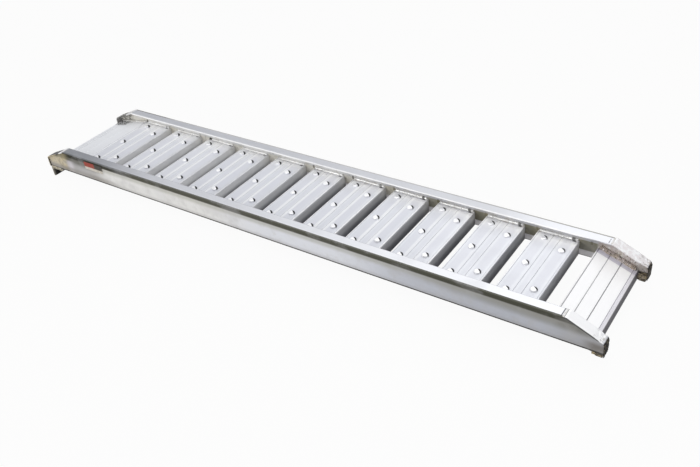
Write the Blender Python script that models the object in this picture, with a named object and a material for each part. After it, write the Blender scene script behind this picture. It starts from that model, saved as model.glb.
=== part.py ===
"""Aluminium loading ramp: two curb rails, hollow studded treads, sloping end plates and hook claws.

X runs from the hook end to the ground end, Y across the ramp and Z up. All sizes are in metres.
"""

import math

import bmesh
import bpy
from mathutils import Matrix

# Overall sizes
LENGTH = 2.295
WIDTH = 0.400
RAIL_TOP = 0.138
RAIL_HEIGHT = 0.092
GAP = 0.0003

# Rail section
FLANGE_WIDTH = 0.038
FLANGE_THICKNESS = 0.005
LIP = 0.0055
WEB_THICKNESS = 0.005
WEB_OUTER = WIDTH / 2 - LIP
WEB_INNER = WEB_OUTER - WEB_THICKNESS
FLANGE_INNER = WIDTH / 2 - FLANGE_WIDTH
RAIL_BOTTOM = RAIL_TOP - RAIL_HEIGHT

# Sloped ends of the rails: slope, bend and end distances from the middle, nose radius, seam setback
GROUND_NEAR = (math.radians(24.5), 1.037, LENGTH / 2, 0.018, 0.009)
GROUND_FAR = (math.radians(24.5), 1.037, LENGTH / 2, 0.018, 0.006)
HOOK_NEAR = (math.radians(23.0), 1.035, LENGTH / 2, 0.012, 0.003)
HOOK_FAR = (math.radians(23.0), 1.027, LENGTH / 2 - 0.012, 0.012, 0.003)
ENDS = (
    ("ground", "near", 1, -1, GROUND_NEAR),
    ("ground", "far", 1, 1, GROUND_FAR),
    ("hook", "near", -1, -1, HOOK_NEAR),
    ("hook", "far", -1, 1, HOOK_FAR),
)
CAP_THICKNESS = 0.005
SHOE_HEIGHT = 0.009

# Treads
TREAD_COUNT = 11
TREAD_PITCH = 0.175
TREAD_SHIFTS = (0.0, -0.0016, 0.0, 0.0, 0.0016, 0.0023, 0.0014, -0.0016, -0.003, -0.0012, 0.0016)
TREAD_WIDTH = 0.132
TREAD_HEIGHT = 0.053
TREAD_WALL = 0.003
TREAD_TOP = RAIL_BOTTOM + TREAD_HEIGHT
FIRST_TREAD_EDGE = -0.825
TREAD_HALF = WEB_INNER - GAP
GROOVES = (0.005, 0.053, 0.079, 0.127)
STUD_PLACES = ((0.032, -0.122), (0.032, 0.015), (0.032, 0.152), (0.104, -0.089), (0.104, 0.115))
STUD_RADIUS = 0.0105
STUD_TOP_RADIUS = 0.0082
STUD_HEIGHT = 0.005
BEAD = 0.004

# End plates
PLATE_TOP = 0.098
PLATE_THICKNESS = 0.010
GROUND_PLATE_X = 0.987
GROUND_PLATE_LENGTH = 0.134
GROUND_PLATE_SLOPE = math.radians(21.5)
GROUND_RIDGES = (0.004, 0.042, 0.082, 0.122)
HOOK_PLATE_X = -0.960
HOOK_PLATE_LENGTH = 0.1725
HOOK_PLATE_SLOPE = math.radians(10.0)
HOOK_RIDGES = (0.006, 0.068, 0.134, 0.150)

# Hook claws
CLAW_WIDTH = 0.060
CLAW_LENGTH = 0.070
CLAW_THICKNESS = 0.010
PAD_THICKNESS = 0.004

# Blank sticker on the near rail
LABEL_START = -0.915
LABEL_LENGTH = 0.103
LABEL_TOP = RAIL_TOP - 0.014
LABEL_HEIGHT = 0.032

XZ_TURN = (math.pi / 2, 0.0, 0.0)
YZ_TURN = (math.pi / 2, 0.0, math.pi / 2)


def clear_scene():
    for obj in list(bpy.data.objects):
        bpy.data.objects.remove(obj, do_unlink=True)


def new_collection(name, hidden=False):
    group = bpy.data.collections.new(name)
    group.hide_render = hidden
    bpy.context.scene.collection.children.link(group)
    return group


def principled(name, colour, roughness, metallic):
    made = bpy.data.materials.new(name)
    made.use_nodes = True
    shader = made.node_tree.nodes["Principled BSDF"]
    shader.inputs["Base Color"].default_value = (*colour, 1.0)
    shader.inputs["Roughness"].default_value = roughness
    shader.inputs["Metallic"].default_value = metallic
    return made


def clean(mesh):
    """Welds the caps of an extruded curve to its sides and turns the faces outward."""
    work = bmesh.new()
    work.from_mesh(mesh)
    bmesh.ops.remove_doubles(work, verts=work.verts, dist=1e-5)
    bmesh.ops.recalc_face_normals(work, faces=work.faces)
    work.to_mesh(mesh)
    work.free()


def extruded(name, outlines, depth):
    """A mesh from flat outlines, the first with the others as holes, extruded evenly about z = 0."""
    curve = bpy.data.curves.new(name, "CURVE")
    curve.dimensions = "2D"
    curve.fill_mode = "BOTH"
    curve.extrude = depth / 2
    for outline in outlines:
        spline = curve.splines.new("POLY")
        spline.points.add(len(outline) - 1)
        for point, (x, y) in zip(spline.points, outline):
            point.co = (x, y, 0.0, 1.0)
        spline.use_cyclic_u = True
    holder = bpy.data.objects.new(name, curve)
    mesh = bpy.data.meshes.new_from_object(holder)
    mesh.name = name
    bpy.data.objects.remove(holder, do_unlink=True)
    bpy.data.curves.remove(curve)
    clean(mesh)
    return mesh


def place(name, mesh, group, material=None, location=(0.0, 0.0, 0.0), rotation=(0.0, 0.0, 0.0)):
    obj = bpy.data.objects.new(name, mesh)
    group.objects.link(obj)
    obj.location = location
    obj.rotation_euler = rotation
    if material and not mesh.materials:
        mesh.materials.append(material)
    return obj


def across(name, outlines, y0, y1, group, material=None):
    """An X-Z outline extruded across the ramp from y0 to y1."""
    mesh = extruded(name, outlines, abs(y1 - y0))
    return place(name, mesh, group, material, (0.0, (y0 + y1) / 2, 0.0), XZ_TURN)


def along(name, outlines, x0, x1, group, material=None):
    """A Y-Z outline extruded along the ramp from x0 to x1."""
    mesh = extruded(name, outlines, abs(x1 - x0))
    return place(name, mesh, group, material, ((x0 + x1) / 2, 0.0, 0.0), YZ_TURN)


def boolean(obj, other, operation):
    cut = obj.modifiers.new(operation.lower(), "BOOLEAN")
    cut.operation = operation
    cut.solver = "EXACT"
    cut.object = other
    return cut


def as_cutter(obj):
    obj.hide_render = True
    obj.display_type = "WIRE"
    return obj


def baked(obj):
    """The evaluated mesh of an object, with its modifiers applied."""
    bpy.context.view_layer.update()
    graph = bpy.context.evaluated_depsgraph_get()
    mesh = bpy.data.meshes.new_from_object(obj.evaluated_get(graph))
    clean(mesh)
    return mesh


def arc(centre_x, centre_z, radius, start, end, steps):
    """Points of an arc, angles in degrees from +X."""
    angles = [math.radians(start + (end - start) * i / steps) for i in range(steps + 1)]
    return [(centre_x + radius * math.cos(a), centre_z + radius * math.sin(a)) for a in angles]


def flip(points, side):
    return [(x * side, z) for x, z in points]


def slope_z(shape, x):
    """Height of the top of a sloped flange at a distance x from the middle of the ramp."""
    return RAIL_TOP - (x - shape[1]) * math.tan(shape[0])


def nose_centre(shape):
    """Centre of the arc that rounds the slope into the end face."""
    slope, _, end, radius, _ = shape
    turn = math.pi / 2 - slope
    return end - radius, slope_z(shape, end) - radius * math.tan(turn / 2)


def rail_section(side):
    top = RAIL_TOP
    low = RAIL_BOTTOM
    under = top - FLANGE_THICKNESS
    points = [
        (FLANGE_INNER + 0.0012, top),
        (WIDTH / 2 - 0.001, top),
        (WIDTH / 2, top - 0.001),
        (WIDTH / 2, under + 0.001),
        (WIDTH / 2 - 0.001, under),
        (WEB_OUTER + 0.0008, under),
        (WEB_OUTER, under - 0.0008),
    ]
    points += arc(WEB_OUTER - 0.0025, low + 0.0025, 0.0025, 0, -180, 6)
    points += arc(WEB_INNER - 0.006, under - 0.006, 0.006, 0, 90, 4)
    points += [
        (FLANGE_INNER + 0.0012, under),
        (FLANGE_INNER, under + 0.0012),
        (FLANGE_INNER, top - 0.0012),
    ]
    return [(y * side, z) for y, z in points]


def end_cutter(name, shape, direction, side, cutters):
    """Takes away the flange past the seam and the web above the bent cap."""
    slope, bend, end, radius, setback = shape
    seam = bend - setback
    drop = CAP_THICKNESS + 0.0004
    centre_x, centre_z = nose_centre(shape)
    far_x = LENGTH / 2 + 0.02
    high = RAIL_TOP + 0.02
    under_bend = bend - drop * math.tan(slope / 2)
    outline = [(seam, high), (seam, RAIL_TOP - drop), (under_bend, RAIL_TOP - drop)]
    outline += arc(centre_x, centre_z, radius - drop, 90 - math.degrees(slope), 0, 5)
    outline += [(end - drop, RAIL_BOTTOM - 0.02), (far_x, RAIL_BOTTOM - 0.02), (far_x, high)]
    inner = side * 0.1
    outer = side * (WIDTH / 2 + 0.01)
    return as_cutter(across(name, [flip(outline, direction)], inner, outer, cutters))


def build_rails(group, cutters, material):
    for label, side in (("near", -1), ("far", 1)):
        name = f"side_rail_{label}"
        rail = along(name, [rail_section(side)], -LENGTH / 2, LENGTH / 2, group, material)
        for end, end_label, direction, end_side, shape in ENDS:
            if end_label == label:
                cutter = end_cutter(f"{end}_cutter_{label}", shape, direction, end_side, cutters)
                boolean(rail, cutter, "DIFFERENCE")


def cap_outline(shape, bottom, foot_radius):
    """The bent cap: a flat tab past the seam, the strip down the slope, round the nose and down."""
    slope, bend, end, radius, setback = shape
    centre_x, centre_z = nose_centre(shape)
    inner_x = end - CAP_THICKNESS
    start = bend - setback + GAP
    rise = 90 - math.degrees(slope)
    points = [(start, RAIL_TOP), (bend, RAIL_TOP)]
    points += arc(centre_x, centre_z, radius, rise, 0, 8)
    points += arc(end - foot_radius, bottom + foot_radius, foot_radius, 0, -70, 4)
    points += [(inner_x, bottom)]
    points += arc(centre_x, centre_z, radius - CAP_THICKNESS, 0, rise, 5)
    under_bend = bend - CAP_THICKNESS * math.tan(slope / 2)
    points += [(under_bend, RAIL_TOP - CAP_THICKNESS), (start, RAIL_TOP - CAP_THICKNESS)]
    return points


def build_caps(group, material):
    for end, label, direction, side, shape in ENDS:
        if end == "ground":
            outline = cap_outline(shape, RAIL_BOTTOM - SHOE_HEIGHT + 0.001, 0.0045)
        else:
            outline = cap_outline(shape, RAIL_BOTTOM + 0.0002, 0.0045)
        inner = side * FLANGE_INNER
        outer = side * WIDTH / 2
        across(f"{end}_cap_{label}", [flip(outline, direction)], inner, outer, group, material)


def build_shoes(group, cutters, material):
    """A wear block under each rail at the ground end, notched to clear the end plate."""
    back = LENGTH / 2 - CAP_THICKNESS - 0.0006
    top = RAIL_BOTTOM - GAP
    low = RAIL_BOTTOM - SHOE_HEIGHT
    foot = [(1.110, top), (1.1195, low + 0.001), (1.1215, low), (back, low), (back, top)]
    notch = [(1.100, low - 0.01), (1.1205, low - 0.01), (1.1205, top + 0.01), (1.100, top + 0.01)]
    for label, side in (("near", -1), ("far", 1)):
        shoe = across(
            f"ground_shoe_{label}", [foot], side * FLANGE_INNER, side * WEB_OUTER, group, material
        )
        cutter = across(
            f"shoe_notch_{label}", [notch], side * (FLANGE_INNER - 0.01), side * WEB_INNER, cutters
        )
        boolean(shoe, as_cutter(cutter), "DIFFERENCE")


def grooved_top(width, top, places, depth, half):
    """Points of a top face from right to left with a vee groove at each place."""
    points = []
    for x in sorted(places, reverse=True):
        points += [(x + half, top), (x, top - depth), (x - half, top)]
    return [(width - 0.0012, top), *points, (0.0012, top)]


def tread_section():
    top = TREAD_HEIGHT
    outer = [(0.0, 0.0), (TREAD_WIDTH, 0.0), (TREAD_WIDTH, top - 0.0012)]
    outer += grooved_top(TREAD_WIDTH, top, GROOVES, 0.0012, 0.0013)
    outer += [(0.0, top - 0.0012)]
    wall = TREAD_WALL
    cell = (TREAD_WIDTH - 4 * wall) / 3
    outlines = [outer]
    for i in range(3):
        left = wall + i * (cell + wall)
        right = left + cell
        ceiling = top - wall - 0.0005
        outlines.append([(left, wall), (right, wall), (right, ceiling), (left, ceiling)])
    return outlines


def bead_section(side):
    """A weld fillet at the end of a tread, rooted a little below the tread's top."""
    y = TREAD_HALF
    points = [(y, TREAD_TOP - 0.0015), (y - BEAD, TREAD_TOP - 0.0015), (y - BEAD, TREAD_TOP + 0.0004)]
    points += [(y - 0.0027, TREAD_TOP + 0.0022), (y - 0.001, TREAD_TOP + 0.0036), (y, TREAD_TOP + BEAD)]
    return [(side * a, z) for a, z in points]


def studs_and_beads():
    """The five grip studs and two end weld fillets, in one mesh, for a tread whose left edge is at x = 0."""
    work = bmesh.new()
    root = 0.002
    for x, y in STUD_PLACES:
        made = bmesh.ops.create_cone(
            work,
            cap_ends=True,
            segments=20,
            radius1=STUD_RADIUS,
            radius2=STUD_TOP_RADIUS,
            depth=STUD_HEIGHT + root,
        )
        shift = (x, y, TREAD_TOP + (STUD_HEIGHT - root) / 2)
        bmesh.ops.translate(work, verts=made["verts"], vec=shift)
    for side in (-1, 1):
        bead = extruded("bead", [bead_section(side)], TREAD_WIDTH - 0.008)
        holder = bpy.data.objects.new("bead_holder", bead)
        holder.location = (TREAD_WIDTH / 2, 0.0, 0.0)
        holder.rotation_euler = YZ_TURN
        bead.transform(holder.matrix_basis)
        work.from_mesh(bead)
        bpy.data.objects.remove(holder, do_unlink=True)
        bpy.data.meshes.remove(bead)
    mesh = bpy.data.meshes.new("studs_and_beads")
    bmesh.ops.recalc_face_normals(work, faces=work.faces)
    work.to_mesh(mesh)
    work.free()
    return mesh


def tread_mesh(cutters, material):
    """One hollow tread with its studs and end fillets, left edge at x = 0 and true height."""
    body = across("tread_body", tread_section(), -TREAD_HALF, TREAD_HALF, cutters)
    body.location.z = RAIL_BOTTOM
    extra = as_cutter(place("tread_extras", studs_and_beads(), cutters))
    boolean(as_cutter(body), extra, "UNION")
    mesh = baked(body)
    mesh.transform(body.matrix_basis)
    mesh.name = "tread"
    mesh.materials.clear()
    mesh.materials.append(material)
    bpy.data.objects.remove(body, do_unlink=True)
    bpy.data.objects.remove(extra, do_unlink=True)
    return mesh


def build_treads(group, cutters, material):
    mesh = tread_mesh(cutters, material)
    for i in range(TREAD_COUNT):
        left = FIRST_TREAD_EDGE + i * TREAD_PITCH + TREAD_SHIFTS[i] - TREAD_WIDTH
        place(f"tread_{i + 1:02d}", mesh, group, location=(left, 0.0, 0.0))


def plate_section(length, ridges, nose):
    """A ridged plate, hollow between its ribs. x runs down the slope and the top face is at z = 0."""
    low = -PLATE_THICKNESS
    top = []
    for x in ridges:
        top += [(x - 0.0015, 0.0), (x, -0.0014), (x + 0.0015, 0.0)]
    outer = [(0.0, low), (0.0, -0.001), (0.001, 0.0), *top, (length, 0.0)]
    outer += [(length + nose, -0.008), (length + nose * 0.7, low)]
    step = (length - 0.016) / 3
    cells = [(i * step + 0.006, (i + 1) * step + 0.002) for i in range(3)]
    return [outer] + [[(a, -0.0075), (b, -0.0075), (b, -0.0035), (a, -0.0035)] for a, b in cells]


def build_end_plate(name, start_x, angle, direction, section, group, material):
    sections = [flip(outline, direction) for outline in section]
    plate = across(name, sections, -TREAD_HALF, TREAD_HALF, group, material)
    plate.location = (start_x, 0.0, PLATE_TOP)
    plate.rotation_euler = (math.pi / 2, direction * angle, 0.0)


def build_end_plates(group, material):
    ground = plate_section(GROUND_PLATE_LENGTH, GROUND_RIDGES, 0.009)
    hook = plate_section(HOOK_PLATE_LENGTH, HOOK_RIDGES, 0.002)
    name = "ground_end_plate"
    build_end_plate(name, GROUND_PLATE_X, GROUND_PLATE_SLOPE, 1, ground, group, material)
    name = "hook_end_plate"
    build_end_plate(name, HOOK_PLATE_X, HOOK_PLATE_SLOPE, -1, hook, group, material)


def build_plate_welds(group, material):
    """Fillets where the ends of the sloping plates meet the webs."""
    ends = (
        ("ground", GROUND_PLATE_X, GROUND_PLATE_LENGTH, GROUND_PLATE_SLOPE, 1),
        ("hook", HOOK_PLATE_X, HOOK_PLATE_LENGTH, HOOK_PLATE_SLOPE, -1),
    )
    for end, start_x, length, angle, direction in ends:
        for label, side in (("near", -1), ("far", 1)):
            name = f"{end}_plate_weld_{label}"
            y = TREAD_HALF
            points = [(y, GAP), (y - 0.005, GAP), (y - 0.0036, 0.0026), (y - 0.0014, 0.0044), (y, 0.005)]
            mesh = extruded(name, [[(side * a, z) for a, z in points]], length - 0.016)
            middle = (length - 0.004) / 2
            x = start_x + direction * middle * math.cos(angle)
            z = PLATE_TOP - middle * math.sin(angle)
            bead = place(name, mesh, group, material, (x, 0.0, z))
            bead.rotation_euler = sloped_turn(direction * angle)


def sloped_turn(angle):
    """Turns a Y-Z outline to run along the ramp, tipped down towards +X by the angle."""
    flat = Matrix.Rotation(math.pi / 2, 4, "Z") @ Matrix.Rotation(math.pi / 2, 4, "X")
    return (Matrix.Rotation(angle, 4, "Y") @ flat).to_euler()


def build_claws(group, material):
    """An angle under each rail: its flat leg lies against the rail and its hook hangs down."""
    left = -LENGTH / 2
    top = RAIL_BOTTOM - GAP
    leg = top - CLAW_THICKNESS
    inner = left + CLAW_THICKNESS
    right = left + CLAW_LENGTH
    outline = [
        (left, top),
        (left, 0.003),
        (left + 0.003, 0.0),
        (inner - 0.003, 0.0),
        (inner, 0.003),
        (inner, leg - 0.005),
        (inner + 0.0015, leg - 0.0015),
        (inner + 0.005, leg),
        (right - 0.006, leg),
        (right, leg + 0.005),
        (right, top),
    ]
    for label, side in (("near", -1), ("far", 1)):
        inside = side * (WEB_OUTER - CLAW_WIDTH)
        across(f"hook_claw_{label}", [outline], inside, side * WEB_OUTER, group, material)


def build_pads(group, material):
    """A rubber pad on the bearing face of each hook."""
    face = -LENGTH / 2 + CLAW_THICKNESS + GAP
    low = 0.0035
    high = RAIL_BOTTOM - GAP - CLAW_THICKNESS - 0.006
    edge = face + PAD_THICKNESS
    outline = [(face, low), (edge - 0.001, low), (edge, low + 0.001), (edge, high - 0.001)]
    outline += [(edge - 0.001, high), (face, high)]
    for label, side in (("near", -1), ("far", 1)):
        inside = side * (WEB_OUTER - CLAW_WIDTH + 0.001)
        outside = side * (WEB_OUTER - 0.001)
        across(f"claw_pad_{label}", [outline], inside, outside, group, material)


def build_seam_welds(group, material):
    """A low bead across each flange where the main rail meets its bent cap."""
    low = RAIL_TOP + GAP
    for end, label, direction, side, shape in ENDS:
        seam = shape[1] - shape[4]
        points = [(seam - 0.004, low), (seam + 0.0028, low), (seam + 0.002, low + 0.0008)]
        points += [(seam - 0.0005, low + 0.0012), (seam - 0.003, low + 0.0008)]
        inner = side * (FLANGE_INNER + 0.001)
        outer = side * (WIDTH / 2 - 0.001)
        name = f"{end}_seam_weld_{label}"
        across(name, [flip(points, direction)], inner, outer, group, material)


def build_claw_welds(group, material):
    """A bead along the outside of each rail where the claw's flat leg meets the web."""
    y = WEB_OUTER + GAP
    z = RAIL_BOTTOM
    points = [(y, z - 0.005), (y + 0.0015, z - 0.0036), (y + 0.0024, z - 0.0008)]
    points += [(y + 0.0018, z + 0.0022), (y, z + 0.004)]
    right = -LENGTH / 2 + CLAW_LENGTH - 0.004
    for end, label, direction, side, shape in ENDS:
        if end == "hook":
            outline = [(side * a, b) for a, b in points]
            left = direction * shape[2] + CAP_THICKNESS + 0.001
            along(f"claw_weld_{label}", [outline], left, right, group, material)


def build_label(group, material):
    """A blank sticker on the outside of the near rail."""
    end = LABEL_START + LABEL_LENGTH
    low = LABEL_TOP - LABEL_HEIGHT
    outline = [(LABEL_START, low), (end, low), (end, LABEL_TOP), (LABEL_START, LABEL_TOP)]
    face = -WEB_OUTER - GAP
    across("blank_label", [outline], face - 0.0004, face, group, material)


def main():
    clear_scene()
    group = new_collection("aluminum_loading_ramp")
    cutters = new_collection("cutters", hidden=True)
    rail = principled("rail_aluminium", (0.78, 0.79, 0.82), 0.38, 1.0)
    cap = principled("cap_aluminium", (0.72, 0.72, 0.73), 0.42, 1.0)
    tread = principled("tread_aluminium", (0.86, 0.87, 0.90), 0.36, 1.0)
    plate = principled("plate_aluminium", (0.88, 0.89, 0.91), 0.34, 1.0)
    claw = principled("claw_aluminium", (0.55, 0.54, 0.50), 0.50, 1.0)
    shoe = principled("shoe_aluminium", (0.34, 0.31, 0.25), 0.62, 1.0)
    weld = principled("weld_aluminium", (0.70, 0.68, 0.64), 0.48, 1.0)
    pad = principled("pad_rubber", (0.02, 0.02, 0.02), 0.70, 0.0)
    label = principled("label_film", (0.85, 0.85, 0.85), 0.40, 0.0)
    build_rails(group, cutters, rail)
    build_caps(group, cap)
    build_shoes(group, cutters, shoe)
    build_treads(group, cutters, tread)
    build_end_plates(group, plate)
    build_plate_welds(group, weld)
    build_claws(group, claw)
    build_pads(group, pad)
    build_seam_welds(group, weld)
    build_claw_welds(group, weld)
    build_label(group, label)


main()
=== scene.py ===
"""Looks of an aluminium loading ramp: mill-finish rails, studded treads, rippled welds and worn shoes.

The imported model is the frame: X runs from the hook end to the ground end, Y across the ramp and Z up.
All sizes are in metres.
"""

import math
from collections import namedtuple

import bmesh
import bpy
from bpy.props import FloatProperty, FloatVectorProperty, IntProperty, PointerProperty
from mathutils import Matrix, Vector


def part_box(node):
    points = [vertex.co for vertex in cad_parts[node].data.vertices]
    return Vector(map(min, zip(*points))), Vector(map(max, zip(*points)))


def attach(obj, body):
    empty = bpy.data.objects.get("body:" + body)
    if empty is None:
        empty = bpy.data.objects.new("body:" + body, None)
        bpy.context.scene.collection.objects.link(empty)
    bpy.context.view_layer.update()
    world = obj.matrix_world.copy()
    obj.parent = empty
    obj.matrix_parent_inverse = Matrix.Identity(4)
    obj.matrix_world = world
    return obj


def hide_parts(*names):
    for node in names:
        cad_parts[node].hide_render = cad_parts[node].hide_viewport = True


bl_info = {
    "name": "Loading Ramp Looks",
    "version": (1, 0, 0),
    "blender": (4, 5, 0),
    "location": "View3D > Sidebar > Ramp",
    "description": "Metal finishes, welds, grip studs, shoes and stage for an aluminium loading ramp",
    "category": "Object",
}

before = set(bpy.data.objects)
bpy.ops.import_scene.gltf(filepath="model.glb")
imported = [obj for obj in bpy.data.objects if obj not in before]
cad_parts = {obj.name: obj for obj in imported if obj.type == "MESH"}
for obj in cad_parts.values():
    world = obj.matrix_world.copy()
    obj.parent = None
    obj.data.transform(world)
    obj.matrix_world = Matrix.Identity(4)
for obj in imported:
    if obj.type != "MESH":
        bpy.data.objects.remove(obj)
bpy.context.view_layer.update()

RAIL_LOW, RAIL_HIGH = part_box("side_rail_near")
TREAD_LOW, TREAD_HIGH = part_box("tread_01")
LABEL_LOW, LABEL_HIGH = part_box("blank_label")
SIDES = (("near", -1), ("far", 1))
WEB_OUTER = -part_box("ground_shoe_near")[0].y
TREADS = [f"tread_{i:02d}" for i in range(1, 12)]
TREAD_PITCH = 0.175
TREAD_WIDTH = TREAD_HIGH.x - TREAD_LOW.x
TREAD_TOP = 0.099
TREAD_END = TREAD_HIGH.y
# Each stud of a tread, from the tread's left edge and across the ramp
STUD_PLACES = ((0.032, -0.122), (0.032, 0.015), (0.032, 0.152), (0.104, -0.089), (0.104, 0.115))
PLATE_TOP = 0.098
# Each sloping plate: its end, the way it runs, where it starts, its length, its slope in degrees,
# and its painted shade lines between the ridges, each by its distance down the slope and its strength
PLATES = (
    ("ground", 1, 0.987, 0.134, 21.5, ((0.0045, 0.7), (0.042, 0.55), (0.082, 0.8))),
    ("hook", -1, -0.96, 0.1725, 10.0, ((0.006, 0.35), (0.134, 0.4), (0.15, 0.4), (0.16, 0.3))),
)
# How fine the grain is along X, Y and Z
GRAIN_ALONG = (5.0, 420.0, 420.0)
GRAIN_ACROSS = (420.0, 5.0, 420.0)
GRAIN_EVEN = (60.0, 60.0, 60.0)


def tone(name, about, default):
    """A colour that a user may change."""
    return FloatVectorProperty(name=name, description=about, subtype="COLOR", default=default, min=0.0, max=1.0)


def share(name, about, default):
    """A factor from nought to one."""
    return FloatProperty(name=name, description=about, subtype="FACTOR", default=default, min=0.0, max=1.0)


def length(name, about, default, least, most):
    """A length in metres."""
    return FloatProperty(name=name, description=about, unit="LENGTH", default=default, min=least, max=most)


def amount(name, about, default, most, least=0.0):
    """A plain number."""
    return FloatProperty(name=name, description=about, default=default, min=least, max=most)


class RampMetal(bpy.types.PropertyGroup):
    """Colours and gloss of the ramp's metals."""

    rail_colour: tone("Rail colour", "Bare extruded aluminium of the side rails", (0.74, 0.75, 0.785))
    tread_colour: tone("Tread colour", "Etched aluminium of the treads", (0.74, 0.755, 0.795))
    plate_colour: tone("Plate colour", "Bright aluminium of the sloping end plates", (0.97, 0.97, 0.975))
    grime_colour: tone("Grime colour", "Dirt that gathers under edges and beside welds", (0.16, 0.14, 0.1))
    stain_colour: tone("Stain colour", "Tan heat stain and dried mud beside the welds", (0.46, 0.37, 0.25))
    rail_roughness: share("Rail roughness", "Blur of reflections in the rails", 0.34)
    tread_roughness: share("Tread roughness", "Blur of reflections in the treads and plates", 0.44)


class RampDetail(bpy.types.PropertyGroup):
    """Sizes of the studs, welds and shoes."""

    stud_radius: length("Stud radius", "Radius of a grip stud at its foot", 0.0112, 0.005, 0.02)
    stud_height: length("Stud height", "Height of a grip stud over the tread", 0.0062, 0.001, 0.01)
    bead_radius: length("Bead radius", "Leg of the weld fillets at the tread ends", 0.0062, 0.002, 0.01)
    ripple_pitch: length("Ripple pitch", "Distance from one weld ripple to the next", 0.0042, 0.001, 0.02)
    shoe_roughness: length("Shoe lumps", "Height of the lumps on the worn shoes", 0.0016, 0.0, 0.005)


class RampStage(bpy.types.PropertyGroup):
    """Light, floor and camera."""

    key_strength: amount("Key strength", "Strength of the high soft key light", 0.56, 10.0)
    key_angle: FloatProperty(
        name="Key size", description="Apparent size of the key light, larger is softer", subtype="ANGLE",
        default=math.radians(6.0), min=0.0, max=math.pi
    )
    sky_strength: amount("Sky strength", "Strength of the soft light from all round", 1.0, 4.0)
    top_power: amount("Top softbox power", "Watts of the softbox over the ground end", 13.0, 500.0)
    side_power: amount("Side softbox power", "Watts of the softbox beside the hook end", 42.0, 500.0)
    floor_size: length("Floor size", "Width of the round floor", 24.0, 4.0, 100.0)
    floor_colour: tone("Floor colour", "Plain pale floor", (0.46, 0.455, 0.44))
    floor_segments: IntProperty(
        name="Floor segments", description="Corners of the round floor", default=96, min=16, max=256
    )
    lens: amount("Lens", "Focal length of the camera in millimetres", 41.241559, 200.0, 10.0)


# Sockets of a Mix node
MIX_FACTOR = 0
MIX_VALUES = (2, 3)
MIX_COLOURS = (6, 7)
MIX_COLOUR_OUT = 2


def put(tree, kind, sockets=None, **settings):
    """Adds a node. A socket that is given another node's output is linked, any other value is set."""
    node = tree.nodes.new(kind)
    for key, value in settings.items():
        setattr(node, key, value)
    for key, value in (sockets or {}).items():
        if isinstance(value, bpy.types.NodeSocket):
            tree.links.new(value, node.inputs[key])
        else:
            node.inputs[key].default_value = value
    return node


def calc(tree, operation, first, second):
    """A Math node's result."""
    return put(tree, "ShaderNodeMath", {0: first, 1: second}, operation=operation).outputs[0]


def product(tree, factors):
    """Factors multiplied one after the other."""
    total = factors[0]
    for factor in factors[1:]:
        total = calc(tree, "MULTIPLY", total, factor)
    return total


def blend(tree, factor, first, second, how="MIX"):
    """The mix of two colours by a factor."""
    sockets = {MIX_FACTOR: factor, MIX_COLOURS[0]: first, MIX_COLOURS[1]: second}
    return put(tree, "ShaderNodeMix", sockets, data_type="RGBA", blend_type=how).outputs[MIX_COLOUR_OUT]


def blend_value(tree, factor, first, second):
    """The mix of two numbers by a factor."""
    sockets = {MIX_FACTOR: factor, MIX_VALUES[0]: first, MIX_VALUES[1]: second}
    return put(tree, "ShaderNodeMix", sockets).outputs[0]


def spread(tree, value, low, high, to_low=0.0, to_high=1.0):
    """Maps a value smoothly from one range to another, held at its ends."""
    sockets = {0: value, 1: low, 2: high, 3: to_low, 4: to_high}
    return put(tree, "ShaderNodeMapRange", sockets, interpolation_type="SMOOTHSTEP").outputs[0]


def group_tree(name, inputs, outputs):
    """An empty node group with its sockets, and its input and output nodes."""
    tree = bpy.data.node_groups.new(name, "ShaderNodeTree")
    for label, value in inputs.items():
        kind = "NodeSocketFloat" if isinstance(value, float) else "NodeSocketVector"
        socket = tree.interface.new_socket(name=label, in_out="INPUT", socket_type=kind)
        if value is not None:
            socket.default_value = value
    for label in outputs:
        tree.interface.new_socket(name=label, in_out="OUTPUT", socket_type="NodeSocketFloat")
    return tree, put(tree, "NodeGroupInput").outputs, put(tree, "NodeGroupOutput").inputs


def band_group():
    """A mask that is one between two limits of a value and fades out past them."""
    numbers = {"Value": 0.0, "Low": 0.0, "High": 1.0, "Fade": 0.001}
    tree, given, made = group_tree("Band", numbers, ["Mask"])
    below = calc(tree, "SUBTRACT", given["Low"], given["Fade"])
    above = calc(tree, "ADD", given["High"], given["Fade"])
    rise = spread(tree, given["Value"], below, given["Low"])
    fall = spread(tree, given["Value"], given["High"], above, 1.0, 0.0)
    tree.links.new(calc(tree, "MULTIPLY", rise, fall), made["Mask"])
    return tree


def cloud(tree, vector, scale, detail, roughness):
    """Cloudy noise from nought to one."""
    sockets = {"Vector": vector, "Scale": scale, "Detail": detail, "Roughness": roughness}
    return put(tree, "ShaderNodeTexNoise", sockets).outputs[0]


def blotch_group():
    """A mask of soft-edged blotches."""
    inputs = {"Vector": None, "Scale": 30.0, "Threshold": 0.5, "Softness": 0.1}
    tree, given, made = group_tree("Blotches", inputs, ["Mask"])
    noise = cloud(tree, given["Vector"], given["Scale"], 4.0, 0.6)
    low = calc(tree, "SUBTRACT", given["Threshold"], given["Softness"])
    high = calc(tree, "ADD", given["Threshold"], given["Softness"])
    tree.links.new(spread(tree, noise, low, high), made["Mask"])
    return tree


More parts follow.
